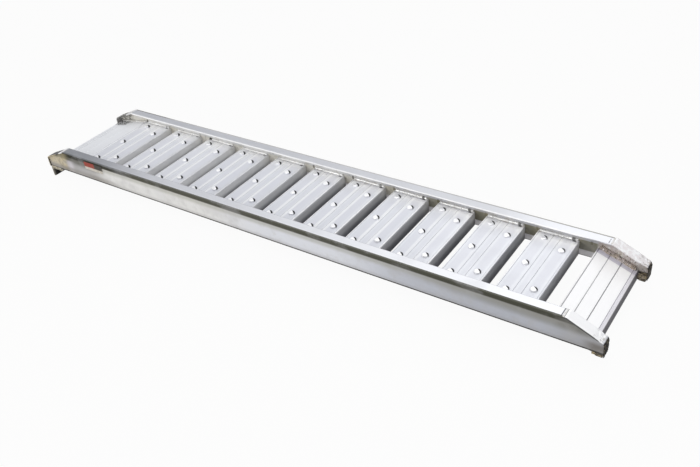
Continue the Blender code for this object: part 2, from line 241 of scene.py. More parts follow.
def grain_group():
    """Fine lines drawn out along one way, as an extrusion die leaves, with a little cloudiness."""
    inputs = {"Vector": None, "Stretch": (6.0, 420.0, 420.0), "Amount": 0.1}
    tree, given, made = group_tree("Mill Grain", inputs, ["Shade", "Height"])
    mapped = put(tree, "ShaderNodeMapping", {"Vector": given["Vector"], "Scale": given["Stretch"]})
    lines = cloud(tree, mapped.outputs[0], 1.0, 5.0, 0.62)
    clouds = cloud(tree, given["Vector"], 14.0, 5.0, 0.55)
    centred = calc(tree, "SUBTRACT", calc(tree, "ADD", lines, clouds), 1.0)
    scaled = calc(tree, "MULTIPLY", centred, given["Amount"])
    tree.links.new(calc(tree, "ADD", scaled, 1.0), made["Shade"])
    tree.links.new(lines, made["Height"])
    return tree


def pore_group():
    """A mask of small round pits, in nearly half of the cells."""
    inputs = {"Vector": None, "Scale": 220.0, "Size": 0.22}
    tree, given, made = group_tree("Pores", inputs, ["Mask"])
    sockets = {"Vector": given["Vector"], "Scale": given["Scale"], "Randomness": 1.0}
    cells = put(tree, "ShaderNodeTexVoronoi", sockets)
    bottom = calc(tree, "MULTIPLY", given["Size"], 0.6)
    pit = spread(tree, cells.outputs["Distance"], bottom, given["Size"], 1.0, 0.0)
    chance = put(tree, "ShaderNodeSeparateColor", {0: cells.outputs["Color"]}).outputs[0]
    kept = calc(tree, "GREATER_THAN", chance, 0.55)
    tree.links.new(calc(tree, "MULTIPLY", pit, kept), made["Mask"])
    return tree


GROUPS = {}


def make_groups():
    """Builds the shared node groups once."""
    GROUPS.update(band=band_group(), blotch=blotch_group(), grain=grain_group(), pore=pore_group())


def place_group(tree, key, sockets):
    """Places a shared node group and gives its outputs."""
    return put(tree, "ShaderNodeGroup", sockets, node_tree=GROUPS[key]).outputs


def place_band(tree, value, low, high, fade):
    """The mask of a value between two limits."""
    return place_group(tree, "band", {"Value": value, "Low": low, "High": high, "Fade": fade})[0]


def place_blotch(tree, vector, scale, threshold, softness):
    """The mask of blotches of one size."""
    sockets = {"Vector": vector, "Scale": scale, "Threshold": threshold, "Softness": softness}
    return place_group(tree, "blotch", sockets)[0]


# Far past either end of the ramp
OPEN = 9.0


def past(axis, low, fade):
    """A band from a place on, with no upper limit."""
    return (axis, low, OPEN, fade)


def up_to(axis, high, fade):
    """A band up to a place, with no lower limit."""
    return (axis, -OPEN, high, fade)


Layer = namedtuple("Layer", "colour strength bands blotch pore dull rough")


def coat(colour, strength, *bands, blotch=None, pore=None, dull=0.7, rough=0.6):
    """A layer over the metal: a colour, its strength and the bands that it keeps to.

    A band is what it measures, its low and high limits and how far it fades out past them. Besides x, y
    and z it measures aside, the distance from the middle line, step, the distance from a tread's left
    edge, or lee, the side of a stud. A blotch is its scale, threshold and softness, and a pore its scale
    and size. Dull is the share of the metallic shine that the layer takes, rough its own roughness.
    """
    return Layer((*colour, 1.0), strength, bands, blotch, pore, dull, rough)


def layer_mask(tree, place, layer):
    """The product of a layer's bands, blotches, pores and strength."""
    masks = [place_band(tree, place[axis], *limits) for axis, *limits in layer.bands]
    if layer.blotch:
        masks.append(place_blotch(tree, place["vector"], *layer.blotch))
    if layer.pore:
        scale, size = layer.pore
        masks.append(place_group(tree, "pore", {"Vector": place["vector"], "Scale": scale, "Size": size})[0])
    return product(tree, [*masks, layer.strength])


def new_material(name):
    """An empty material, its node tree and its shader."""
    made = bpy.data.materials.new(name)
    made.use_nodes = True
    return made, made.node_tree, made.node_tree.nodes["Principled BSDF"]


def places(tree, measures=()):
    """Where a point is: the vector, its x, y and z, and those of the other measures that are asked for."""
    vector = put(tree, "ShaderNodeTexCoord").outputs["Object"]
    x, y, z = put(tree, "ShaderNodeSeparateXYZ", {0: vector}).outputs
    place = {"vector": vector, "x": x, "y": y, "z": z}
    if "aside" in measures:
        place["aside"] = put(tree, "ShaderNodeMath", {0: y}, operation="ABSOLUTE").outputs[0]
    if "step" in measures:
        even = calc(tree, "FLOORED_MODULO", calc(tree, "SUBTRACT", x, TREAD_LOW.x), TREAD_PITCH)
        place["step"] = calc(tree, "SUBTRACT", even, tread_shift(tree, x))
    if "lee" in measures:
        place["lee"] = put(tree, "ShaderNodeAttribute", attribute_name="lee").outputs["Fac"]
    return place


def tread_shift(tree, along):
    """How far the tread at a place along the ramp is off the even pitch.

    A colour ramp holds the shifts as greys: middle grey is no shift, and black to white is tone_span.
    """
    no_shift, tone_span = 0.5, 0.02
    start_x = TREAD_LOW.x - (TREAD_PITCH - TREAD_WIDTH) / 2
    end_x = start_x + TREAD_PITCH * len(TREADS)
    part = put(tree, "ShaderNodeMapRange", {0: along, 1: start_x, 2: end_x}).outputs[0]
    node = put(tree, "ShaderNodeValToRGB", {0: part})
    ramp = node.color_ramp
    ramp.interpolation = "CONSTANT"
    for i, name in enumerate(TREADS):
        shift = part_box(name)[0].x - TREAD_LOW.x - i * TREAD_PITCH
        stop = ramp.elements[0] if i == 0 else ramp.elements.new(i / len(TREADS))
        grey = no_shift + shift / tone_span
        stop.color = (grey, grey, grey, 1.0)
    ramp.elements.remove(ramp.elements[-1])
    grey = put(tree, "ShaderNodeSeparateColor", {0: node.outputs[0]}).outputs[0]
    return calc(tree, "MULTIPLY", calc(tree, "SUBTRACT", grey, no_shift), tone_span)


def alloy(name, colour, layers, *, roughness, metallic, stretch, streaks, depth):
    """A metal with mill grain and, over it, layers of stain, grime and wear, and in several metals painted
    light and shade.
    """
    roughness_swing, bump_strength = 0.22, 0.35
    made, tree, shader = new_material(name)
    place = places(tree, {band[0] for layer in layers for band in layer.bands})
    sockets = {"Vector": place["vector"], "Stretch": stretch, "Amount": streaks}
    shade, height = place_group(tree, "grain", sockets)
    grey = put(tree, "ShaderNodeCombineColor", {0: shade, 1: shade, 2: shade}).outputs[0]
    tint = blend(tree, 1.0, (*colour, 1.0), grey, "MULTIPLY")
    swing = calc(tree, "MULTIPLY", calc(tree, "SUBTRACT", height, 0.5), roughness_swing)
    rough = calc(tree, "ADD", swing, roughness)
    shine = []
    for layer in layers:
        mask = layer_mask(tree, place, layer)
        tint = blend(tree, mask, tint, layer.colour)
        rough = blend_value(tree, mask, rough, layer.rough)
        shine.append(calc(tree, "SUBTRACT", 1.0, calc(tree, "MULTIPLY", mask, layer.dull)))
    tree.links.new(tint, shader.inputs["Base Color"])
    tree.links.new(rough, shader.inputs["Roughness"])
    tree.links.new(product(tree, [*shine, metallic]), shader.inputs["Metallic"])
    raised = put(tree, "ShaderNodeBump", {"Strength": bump_strength, "Distance": depth, "Height": height})
    tree.links.new(raised.outputs[0], shader.inputs["Normal"])
    return made


def dress(node_name, material):
    """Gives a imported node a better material."""
    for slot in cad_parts[node_name].material_slots:
        slot.material = material


# Colours and bands that several metals share
WHITE = (1.0, 1.0, 1.0)
SOOT = (0.07, 0.066, 0.055)
DRIED_MUD = (0.58, 0.5, 0.33)
# Painted shade along the rails' bottom edges
UNDER_EDGE_SHADE = (0.022, 0.02, 0.016)
ON_NEAR_RAIL = up_to("y", -0.15, 0.01)
ON_FAR_RAIL = past("y", 0.15, 0.01)
OUTER_EDGE = past("aside", 0.199, 0.0006)
# Bands of the rails: the two faces of the web, the web with its lip, and between the flanges
WEB_INSIDE = ("aside", 0.185, WEB_OUTER - 0.0035, 0.0004)
WEB_FACE = ("aside", WEB_OUTER - 0.0006, WEB_OUTER + 0.0006, 0.0004)
WEB_AND_LIP = past("aside", WEB_OUTER - 0.0006, 0.0004)
BELOW_FLANGE = ("z", 0.047, 0.1366, 0.0005)


def outer_face_layers():
    """The webs' outer faces in painted light and reflection: pale in the middle, bluer and darker to the ground
    end. They are also darker at the hook end and blotched at random.
    """
    return [
        coat((0.95, 0.94, 0.91), 0.66, WEB_FACE, ("x", -0.76, 0.25, 0.3), dull=0.6),
        coat((0.74, 0.78, 0.9), 0.5, WEB_FACE, past("x", 0.05, 0.4), dull=0.2),
        coat((0.5, 0.52, 0.58), 0.55, WEB_FACE, past("x", 0.85, 0.55), dull=0.1),
        coat((0.36, 0.35, 0.34), 0.4, WEB_FACE, past("x", 1.06, 0.1), dull=0.3),
        coat((0.34, 0.32, 0.3), 0.62, WEB_FACE, up_to("x", -0.88, 0.1), dull=0.4),
        coat((0.55, 0.54, 0.54), 0.3, WEB_FACE, blotch=(16.0, 0.56, 0.1), dull=0.2),
    ]


def inner_face_layers(grime):
    """The webs between the treads: pale at the hook end, then tan, then olive at the ground end; the pale lift
    and bottom strip are painted light, the olive and dark bands painted shade.
    """
    web = (WEB_INSIDE, BELOW_FLANGE)
    low, high = ("z", 0.07, 0.103, 0.006), ("z", 0.104, 0.14, 0.003)
    left_of_tread = (WEB_INSIDE, ("z", 0.096, 0.1075, 0.0015), ("step", 0.1665, 0.1745, 0.0012))
    before_plate, plate_end = up_to("x", 0.975, 0.01), past("x", 0.99, 0.01)
    return [
        # Painted light: lifts the web where the treads and the flange shade it
        coat((0.98, 0.98, 0.955), 0.88, *web, dull=0.85, rough=0.5),
        coat((0.62, 0.59, 0.52), 0.6, *web, up_to("x", -0.93, 0.06)),
        coat((0.66, 0.6, 0.45), 0.4, *web, low, ("x", -0.84, 0.3, 0.3)),
        # Painted shade under the flange
        coat((0.6, 0.6, 0.6), 0.42, *web, high, ("x", -0.9, 0.1, 0.3)),
        # Painted shade on the web beside each tread's left edge
        coat((0.05, 0.045, 0.035), 0.85, *left_of_tread, ("x", 0.0, 1.0, 0.3)),
        coat((0.03, 0.028, 0.022), 0.9, *left_of_tread, ("x", -0.965, -0.93, 0.008)),
        # Painted shade, olive, low on the web towards the ground end
        coat(
            (0.15, 0.135, 0.065), 0.86, *web, ("z", 0.07, 0.104, 0.003),
            ("x", 0.5, 0.975, 0.45), ("x", -1.0, 0.978, 0.02)
        ),
        # Painted shade under the flange towards the ground end
        coat((0.44, 0.44, 0.48), 0.72, *web, ("z", 0.107, 0.14, 0.003), ("x", 0.35, 0.975, 0.35)),
        coat((0.5, 0.42, 0.39), 0.78, *web, plate_end, blotch=(90.0, 0.42, 0.1)),
        coat(grime, 0.8, *web, plate_end, pore=(130.0, 0.34)),
        coat((0.56, 0.51, 0.4), 0.34, *web, blotch=(26.0, 0.55, 0.08)),
        coat(grime, 0.3, *web, blotch=(60.0, 0.62, 0.06)),
        # Painted light: the lit strip along the bottom of the web
        coat((1.0, 0.98, 1.0), 1.0, WEB_INSIDE, ("z", 0.0475, 0.066, 0.005), before_plate, dull=0.9),
        coat(SOOT, 0.7, WEB_INSIDE, up_to("x", -1.07, 0.03), blotch=(150.0, 0.47, 0.04)),
    ]


def outer_edge_layers():
    """Painted shade under the flange and the lip and along the bottom, a painted reflection near the hook end,
    and dried mud at the hook end.
    """
    lip_shade, shade_band = (0.04, 0.04, 0.022), ("z", 0.1195, 0.1373, 0.0048)
    hook_end = up_to("x", -1.03, 0.03)
    return [
        # Painted shade under the flange, darkest towards the ground end and the hook end
        coat((0.38, 0.37, 0.31), 0.56, WEB_AND_LIP, ("z", 0.11, 0.1366, 0.016)),
        coat((0.23, 0.225, 0.2), 0.58, WEB_AND_LIP, ("z", 0.1, 0.1366, 0.02), past("x", 0.95, 0.6)),
        coat((0.07, 0.065, 0.045), 0.88, WEB_AND_LIP, ("z", 0.106, 0.1366, 0.026), ("x", -1.06, -0.86, 0.07)),
        coat((0.16, 0.14, 0.12), 0.8, WEB_FACE, up_to("z", 0.07, 0.02), past("x", 1.12, 0.05)),
        # Painted shade under the lip and on its edge, darkest at the hook end of the near rail
        coat(lip_shade, 0.955, WEB_AND_LIP, ON_NEAR_RAIL, shade_band, dull=0.97),
        coat(
            (0.012, 0.012, 0.006), 0.7, WEB_AND_LIP, ON_NEAR_RAIL, shade_band, ("x", -1.1, -0.75, 0.1),
            dull=1.0, rough=0.9
        ),
        coat(lip_shade, 0.8, WEB_AND_LIP, ON_FAR_RAIL, ("z", 0.1185, 0.13, 0.0052), dull=0.9),
        coat(DRIED_MUD, 0.88, WEB_FACE, up_to("x", -1.045, 0.03), blotch=(30.0, 0.36, 0.16)),
        coat((0.22, 0.18, 0.11), 0.55, WEB_FACE, hook_end, blotch=(75.0, 0.56, 0.05)),
        # Painted shade under the flange at the hook end
        coat((0.12, 0.105, 0.05), 0.7, WEB_FACE, ("z", 0.11, 0.14, 0.012), hook_end),
        coat((0.2, 0.17, 0.1), 0.6, WEB_FACE, up_to("z", 0.058, 0.012), hook_end),
        # Painted reflection: a pale lavender streak on the web near the hook end
        coat((0.78, 0.74, 0.8), 0.55, WEB_FACE, ("x", -1.012, -1.006, 0.028), ("z", 0.05, 0.096, 0.012)),
        # Painted shade along the bottom, wider towards the hook end
        coat((0.3, 0.29, 0.28), 0.36, WEB_AND_LIP, up_to("z", 0.052, 0.016)),
        coat((0.26, 0.24, 0.22), 0.6, WEB_AND_LIP, up_to("z", 0.062, 0.016), up_to("x", -0.82, 0.14)),
        # Painted shade under the flange at the ground end
        coat((0.15, 0.145, 0.13), 0.4, WEB_FACE, ("z", 0.104, 0.14, 0.016), past("x", 1.04, 0.05)),
    ]


def flange_layers():
    """Painted shadow and highlight lines along the flanges' inner edges, painted shade along the bottom edges,
    painted reflection on the flange tops, and the seams where the bent caps start.
    """
    top = past("z", 0.1374, 0.0004)
    far_inner_edge = (("y", 0.156, 0.1648, 0.0008), ("z", 0.13, 0.1376, 0.0008))
    return [
        # Painted shadow along the near flange's inner edge
        coat((0.2, 0.2, 0.22), 0.7, ("y", -0.1636, -0.16, 0.0008), past("z", 0.13, 0.001)),
        # Painted highlight along the far flange's inner edge
        coat(WHITE, 0.95, *far_inner_edge, up_to("x", 0.9, 0.1), dull=0.95),
        # Painted shade along the bottom edges
        coat(UNDER_EDGE_SHADE, 0.98, WEB_AND_LIP, up_to("z", 0.0515, 0.0012), dull=0.97),
        coat(UNDER_EDGE_SHADE, 0.9, WEB_INSIDE, up_to("z", 0.049, 0.0012), past("x", 0.65, 0.15)),
        # Painted reflection: flange tops darker towards the hook end and over the far middle
        coat((0.17, 0.18, 0.2), 0.74, top, ON_NEAR_RAIL, up_to("x", -0.97, 0.55), dull=0.1),
        coat((0.36, 0.37, 0.4), 0.3, top, ON_FAR_RAIL, ("x", -0.95, 0.6, 0.3), dull=0.0),
        coat((0.04, 0.04, 0.04), 0.9, top, ON_NEAR_RAIL, ("x", 1.0203, 1.0227, 0.0006)),
        coat(
            (0.08, 0.08, 0.1), 0.8, top, ON_FAR_RAIL, ("x", 1.0205, 1.0225, 0.0006), blotch=(150.0, 0.46, 0.06)
        ),
        coat((0.6, 0.6, 0.63), 0.2, blotch=(9.0, 0.6, 0.1), dull=0.1),
    ]


def tread_layers(grime, stain):
    """The treads: stained far ends under painted light, sides in painted light and shade, painted highlight and
    shade at the edges, painted shade in the grooves, and streaks along each top.
    """
    top = past("z", 0.0982, 0.0006)
    side_faces = up_to("z", 0.097, 0.0015)
    hook_half = up_to("x", 0.3, 0.5)
    white, violet, groove_shade = (0.97, 0.97, 0.96), (0.5, 0.5, 0.58), (0.25, 0.25, 0.27)
    layers = [
        # Painted light, rising towards the far ends of the tops
        coat(WHITE, 0.85, top, past("y", 0.165, 0.06), dull=0.9),
        coat((0.54, 0.56, 0.61), 0.24, top, ("x", -0.42, 0.45, 0.12), dull=0.0),
        # Painted highlight along each tread's left edge
        coat(white, 0.7, top, up_to("step", 0.0022, 0.002)),
        # Painted light on the sides towards the hook end
        coat(
            white, 0.7, ("z", 0.076, 0.0975, 0.01), past("step", 0.1285, 0.0025), up_to("x", 0.4, 0.7), dull=0.8
        ),
        coat(grime, 0.38, past("aside", 0.17, 0.012), blotch=(70.0, 0.58, 0.05)),
        coat(white, 0.8, past("aside", 0.165, 0.014), blotch=(60.0, 0.46, 0.05)),
        coat(stain, 0.45, past("aside", 0.18, 0.006), blotch=(34.0, 0.58, 0.08)),
        coat((0.03, 0.027, 0.022), 0.9, top, ("step", 0.114, 0.123, 0.002), ("y", 0.177, 0.186, 0.002)),
        # Painted shade low on the sides towards the ground end
        coat((0.2, 0.2, 0.23), 0.5, side_faces, up_to("z", 0.086, 0.014), past("x", 0.25, 0.7), dull=0.3),
        # Painted light on the sides at the hook end
        coat((0.97, 0.97, 0.98), 0.65, side_faces, up_to("x", -0.45, 0.4), past("z", 0.08, 0.02)),
        coat(white, 0.8, side_faces, past("y", 0.185, 0.055), dull=0.9),
        # Painted shade, darker towards the bottom
        coat((0.07, 0.07, 0.085), 0.8, up_to("z", 0.052, 0.034)),
        coat((0.62, 0.63, 0.67), 0.2, blotch=(12.0, 0.58, 0.12), dull=0.2),
    ]
    for low, high, fade in ((0.043, 0.05, 0.005), (0.0805, 0.087, 0.006)):
        layers.append(coat(white, 0.34, top, hook_half, ("step", low, high, fade)))
    broad = ((0.016, 0.038, 0.008, 0.2), (0.064, 0.071, 0.006, 0.16), (0.094, 0.112, 0.01, 0.22))
    for low, high, fade, strength in broad:
        layers.append(coat(violet, strength, top, ("step", low, high, fade), dull=0.0))
    # Painted shade along each top's rounded right edge towards the hook end
    right_edge = ("step", 0.127, 0.14, 0.018)
    layers.append(coat((0.5, 0.51, 0.54), 0.45, top, up_to("x", -0.2, 0.4), right_edge))
    # Painted shade in the grooves
    for low, high, strength in ((0.0042, 0.006, 0.3), (0.0522, 0.0538, 0.34), (0.0782, 0.0798, 0.36)):
        layers.append(coat(groove_shade, strength, top, ("step", low, high, 0.0006)))
    return layers


def plate_layers(grime):
    """The sloping end plates: painted light towards the far rail, a greyer hook end, a painted shadow of the
    far flange, painted shade lines between the ridges and painted shade on the rounded lower edge.
    """
    line_half_width, line_fade = 0.0009, 0.0007
    # Painted shade in the grooves between the ridges
    lines = []
    for _, way, start_x, _, slope, places_down in PLATES:
        for down, strength in places_down:
            x = start_x + way * down * math.cos(math.radians(slope))
            band = ("x", x - line_half_width, x + line_half_width, line_fade)
            lines.append(coat((0.09, 0.09, 0.1), strength, band))
    hook_corner = (up_to("x", -1.075, 0.02), past("y", 0.152, 0.01))
    return [
        # Painted light towards the far rail
        coat(WHITE, 0.8, past("y", 0.155, 0.08), dull=0.9),
        coat((0.72, 0.74, 0.78), 0.68, up_to("x", -0.9, 0.01), dull=0.1),
        coat(grime, 0.4, past("aside", 0.176, 0.012), blotch=(50.0, 0.56, 0.08)),
        coat(SOOT, 0.85, *hook_corner, blotch=(150.0, 0.46, 0.04)),
        # Painted shadow of the far flange on the ground plate
        coat((0.52, 0.5, 0.6), 0.75, past("x", 0.9, 0.01), ("y", 0.163, 0.177, 0.003)),
        *lines,
        # Painted shade on the rounded lower edge, black where it faces away from the light
        coat((0.6, 0.58, 0.64), 0.6, ("x", 1.0985, 1.1085, 0.001)),
        coat((0.2, 0.19, 0.21), 0.5, ("x", 1.0985, 1.0995, 0.0006)),
        coat((0.07, 0.065, 0.075), 0.9, past("x", 1.11, 0.0012)),
    ]


class RAMP_OT_finish_rails(bpy.types.Operator):
    """Finish the side rails, with painted light and shade in their colour"""

    bl_idname = "ramp.finish_rails"
    bl_label = "Finish Rails"

    def execute(self, context):
        metal = context.scene.ramp_metal
        layers = outer_face_layers() + inner_face_layers(metal.grime_colour)
        layers += outer_edge_layers() + flange_layers()
        rail = alloy(
            "rail_aluminium_finish", metal.rail_colour, layers, roughness=metal.rail_roughness,
            metallic=0.93, stretch=GRAIN_ALONG, streaks=0.1, depth=0.0004
        )
        for label, _ in SIDES:
            dress(f"side_rail_{label}", rail)
        return {"FINISHED"}


class RAMP_OT_finish_treads(bpy.types.Operator):
    """Finish the treads and the sloping end plates, with painted light and shade in their colour"""

    bl_idname = "ramp.finish_treads"
    bl_label = "Finish Treads and Plates"

    def execute(self, context):
        metal = context.scene.ramp_metal
        shared = {"roughness": metal.tread_roughness, "metallic": 0.46, "stretch": GRAIN_ACROSS}
        layers = tread_layers(metal.grime_colour, metal.stain_colour)
        grain = {"streaks": 0.12, "depth": 0.0004}
        tread = alloy("tread_aluminium_finish", metal.tread_colour, layers, **shared, **grain)
        for name in TREADS:
            dress(name, tread)
        layers = plate_layers(metal.grime_colour)
        grain = {"streaks": 0.08, "depth": 0.0003}
        plate = alloy("plate_aluminium_finish", metal.plate_colour, layers, **shared, **grain)
        for end, *_ in PLATES:
            dress(f"{end}_end_plate", plate)
        return {"FINISHED"}


class RAMP_OT_finish_claws(bpy.types.Operator):
    """Finish the hook claws and their rubber pads"""

    bl_idname = "ramp.finish_claws"
    bl_label = "Finish Claws and Pads"

    def execute(self, context):
        grime = context.scene.ramp_metal.grime_colour
        muddy = [
            coat((0.07, 0.065, 0.055), 0.8, up_to("z", 0.03, 0.008)),
            coat(grime, 0.6, blotch=(60.0, 0.5, 0.08)),
        ]
        dusty = [coat((0.1, 0.095, 0.085), 0.6, blotch=(45.0, 0.52, 0.15))]
        claw = alloy(
            "claw_aluminium_finish", (0.55, 0.51, 0.42), muddy, roughness=0.5,
            metallic=0.7, stretch=GRAIN_EVEN, streaks=0.3, depth=0.001
        )
        rubber = alloy(
            "pad_rubber_finish", (0.022, 0.022, 0.022), dusty, roughness=0.72,
            metallic=0.0, stretch=GRAIN_EVEN, streaks=0.4, depth=0.0006
        )
        for label, _ in SIDES:
            dress(f"hook_claw_{label}", claw)
            dress(f"claw_pad_{label}", rubber)
        return {"FINISHED"}


def deselect_all():
    """Leaves edit mode and deselects everything."""
    if bpy.context.object and bpy.context.object.mode != "OBJECT":
        bpy.ops.object.mode_set(mode="OBJECT")
    bpy.ops.object.select_all(action="DESELECT")


def pick(obj):
    """Makes an object the only one selected, and active."""
    deselect_all()
    obj.select_set(True)
    bpy.context.view_layer.objects.active = obj


def settle(obj):
    """Puts an object's place, turn and scale into its mesh."""
    pick(obj)
    bpy.ops.object.transform_apply(location=True, rotation=True, scale=True)


def rename(obj, name):
    """Names an object and its mesh."""
    obj.name = name
    obj.data.name = name


def start(name):
    """Names the primitive that was just added and puts its place, turn and scale into its mesh."""
    obj = bpy.context.object
    rename(obj, name)
    bpy.ops.object.transform_apply(location=True, rotation=True, scale=True)
    return obj


def edit(obj):
    """Opens a mesh in edit mode with everything selected."""
    pick(obj)
    bpy.ops.object.mode_set(mode="EDIT")
    bpy.ops.mesh.select_all(action="SELECT")


def leave_edit():
    """Goes back to object mode."""
    bpy.ops.object.mode_set(mode="OBJECT")


def choose(obj, kind, test):
    """In edit mode, selects only the vertices, edges or faces that pass a test."""
    bpy.ops.mesh.select_mode(type={"verts": "VERT", "edges": "EDGE", "faces": "FACE"}[kind])
    work = bmesh.from_edit_mesh(obj.data)
    for item in [*work.faces, *work.edges, *work.verts]:
        item.select_set(False)
    chosen = [item for item in getattr(work, kind) if test(item)]
    for item in chosen:
        item.select_set(True)
    work.select_flush_mode()
    bmesh.update_edit_mesh(obj.data)
    if not chosen:
        raise RuntimeError(f"nothing of {obj.name} was chosen")


def use(obj, kind, **settings):
    """Adds a modifier and applies it."""
    pick(obj)
    modifier = obj.modifiers.new(kind.lower(), kind)
    for key, value in settings.items():
        setattr(modifier, key, value)
    bpy.ops.object.modifier_apply(modifier=modifier.name)


def lumps(name, size, depth=2):
    """A cloud texture for small irregularities."""
    made = bpy.data.textures.get(name) or bpy.data.textures.new(name, "CLOUDS")
    made.noise_scale = size
    made.noise_depth = depth
    return made


def roughen(obj, texture, height, middle=0.5, **settings):
    """Pushes a surface in and out by a cloud texture."""
    use(obj, "DISPLACE", texture=texture, strength=height, mid_level=middle, **settings)


def smooth(obj, degrees):
    """Shades an object smooth, but for edges sharper than an angle."""
    pick(obj)
    bpy.ops.object.shade_smooth_by_angle(angle=math.radians(degrees))


def copy_of(obj, name, location):
    """A copy with its own mesh, moved and then settled."""
    made = obj.copy()
    made.data = obj.data.copy()
    rename(made, name)
    bpy.context.scene.collection.objects.link(made)
    made.location = location
    settle(made)
    return made


def joined(objects, name):
    """Several objects made one."""
    deselect_all()
    for obj in objects:
        obj.select_set(True)
    bpy.context.view_layer.objects.active = objects[0]
    bpy.ops.object.join()
    made = bpy.context.object
    rename(made, name)
    return made


def drop(obj):
    """Deletes a pattern that has been copied."""
    pick(obj)
    bpy.ops.object.delete()


def finish_piece(obj, material):
    """Gives a piece its material and slot, and parents it to the body:root empty."""
    obj.data.materials.clear()
    obj.data.materials.append(material)
    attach(obj, "root")


def trim(obj, point, outward):
    """Cuts a mesh off past a plane and closes the cut."""
    edit(obj)
    bpy.ops.mesh.bisect(plane_co=point, plane_no=outward, use_fill=True, clear_outer=True)
    leave_edit()


def bead(name, long, radius, pitch, dip):
    """A rippled weld bead along X about the origin, closed at both ends. Dip is the size of its waists."""
    fewest_rings, most_rings, end_size = 4, 96, 0.6
    deselect_all()
    bpy.ops.mesh.primitive_cylinder_add(
        vertices=12, radius=radius, depth=long, location=(0.0, 0.0, 0.0), rotation=(0.0, math.pi / 2, 0.0)
    )
    obj = start(name)
    rings = max(fewest_rings, min(most_rings, 2 * round(long / pitch)))
    step = long / rings
    edit(obj)
    choose(obj, "edges", lambda e: abs(e.verts[0].co.x - e.verts[1].co.x) > long / 2)
    bpy.ops.mesh.subdivide(number_cuts=rings - 1)
    choose(obj, "verts", lambda v: round((v.co.x + long / 2) / step) % 2 == 0)
    bpy.ops.transform.resize(value=(1.0, dip, dip), center_override=(0.0, 0.0, 0.0))
    choose(obj, "verts", lambda v: abs(v.co.x) > long / 2 - step / 2)
    bpy.ops.transform.resize(value=(1.0, end_size, end_size), center_override=(0.0, 0.0, 0.0))
    leave_edit()
    return obj


def finish_bead(obj, material):
    """Smooths a bead and finishes it."""
    smooth(obj, 55)
    finish_piece(obj, material)


def weld_material(name, colour, metal, soot, pits=()):
    """A lumpy weld metal, more or less sooty, with pits of its own."""
    layers = [
        coat(metal.stain_colour, soot, blotch=(60.0, 0.52, 0.08)),
        coat(metal.grime_colour, soot, blotch=(110.0, 0.56, 0.05)),
        coat((0.03, 0.025, 0.02), min(0.9, 0.35 + soot), pore=(150.0, 0.3)),
        *pits,
    ]
    return alloy(
        name, colour, layers, roughness=0.42, metallic=0.75, stretch=(160.0,) * 3, streaks=0.25, depth=0.001
    )


class RAMP_OT_add_studs(bpy.types.Operator):
    """Add the rounded grip studs of every tread, each with a painted shadow on its side away from the light"""

    bl_idname = "ramp.add_studs"
    bl_label = "Add Grip Studs"

    def execute(self, context):
        detail = context.scene.ramp_detail
        stud = self.stud(detail.stud_radius, detail.stud_height)
        copies = [
            copy_of(stud, f"stud_{i}", (TREAD_LOW.x + x, y, TREAD_TOP)) for i, (x, y) in enumerate(STUD_PLACES)
        ]
        drop(stud)
        first = joined(copies, "tread_studs")
        hook_half = up_to("x", -0.1, 0.6)
        layers = [
            coat((0.6, 0.6, 0.62), 0.25, blotch=(90.0, 0.56, 0.08), dull=0.2),
            coat((0.24, 0.23, 0.22), 0.4, up_to("z", TREAD_TOP + 0.0006, 0.0008)),
            coat((0.74, 0.76, 0.8), 0.7, hook_half, up_to("z", 0.103, 0.001)),
            # Painted shadow: a dark crescent on each stud's side away from the light
            coat((0.008, 0.008, 0.01), 0.99, past("lee", 0.38, 0.05), dull=0.97),
        ]
        material = alloy(
            "stud_aluminium_finish", (0.93, 0.935, 0.95), layers, roughness=0.36,
            metallic=0.5, stretch=(90.0,) * 3, streaks=0.1, depth=0.0004
        )
        for name in TREADS:
            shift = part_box(name)[0].x - TREAD_LOW.x
            made = copy_of(first, f"studs_{name}", (shift, 0.0, 0.0))
            finish_piece(made, material)
        drop(first)
        return {"FINISHED"}

    def stud(self, radius, height):
        """A low dome on the origin, its foot a little sunk. Its attribute lee tells its two sides apart, for
        the painted shadow on the side away from the light.
        """
        sunk = 0.0008
        lee_x, lee_y = 0.62, 0.78
        deselect_all()
        bpy.ops.mesh.primitive_cylinder_add(
            vertices=28, radius=radius, depth=height + sunk, location=(0.0, 0.0, (height - sunk) / 2)
        )
        stud = start("grip_stud")

        def on_rim(edge):
            points = [v.co for v in edge.verts]
            return all(p.z > height - 1e-5 and math.hypot(p.x, p.y) > radius * 0.98 for p in points)

        edit(stud)
        choose(stud, "faces", lambda f: f.normal.z > 0.9)
        bpy.ops.mesh.inset(thickness=radius * 0.3)
        bpy.ops.transform.resize(value=(0.9, 0.9, 1.0), center_override=(0.0, 0.0, height))
        choose(stud, "edges", on_rim)
        bpy.ops.mesh.bevel(offset=radius * 0.36, segments=6, profile=0.5, affect="EDGES")
        leave_edit()
        smooth(stud, 60)
        lee = stud.data.attributes.new("lee", "FLOAT", "POINT")
        for item, vertex in zip(lee.data, stud.data.vertices):
            item.value = (lee_x * vertex.co.x + lee_y * vertex.co.y) / radius
        return stud


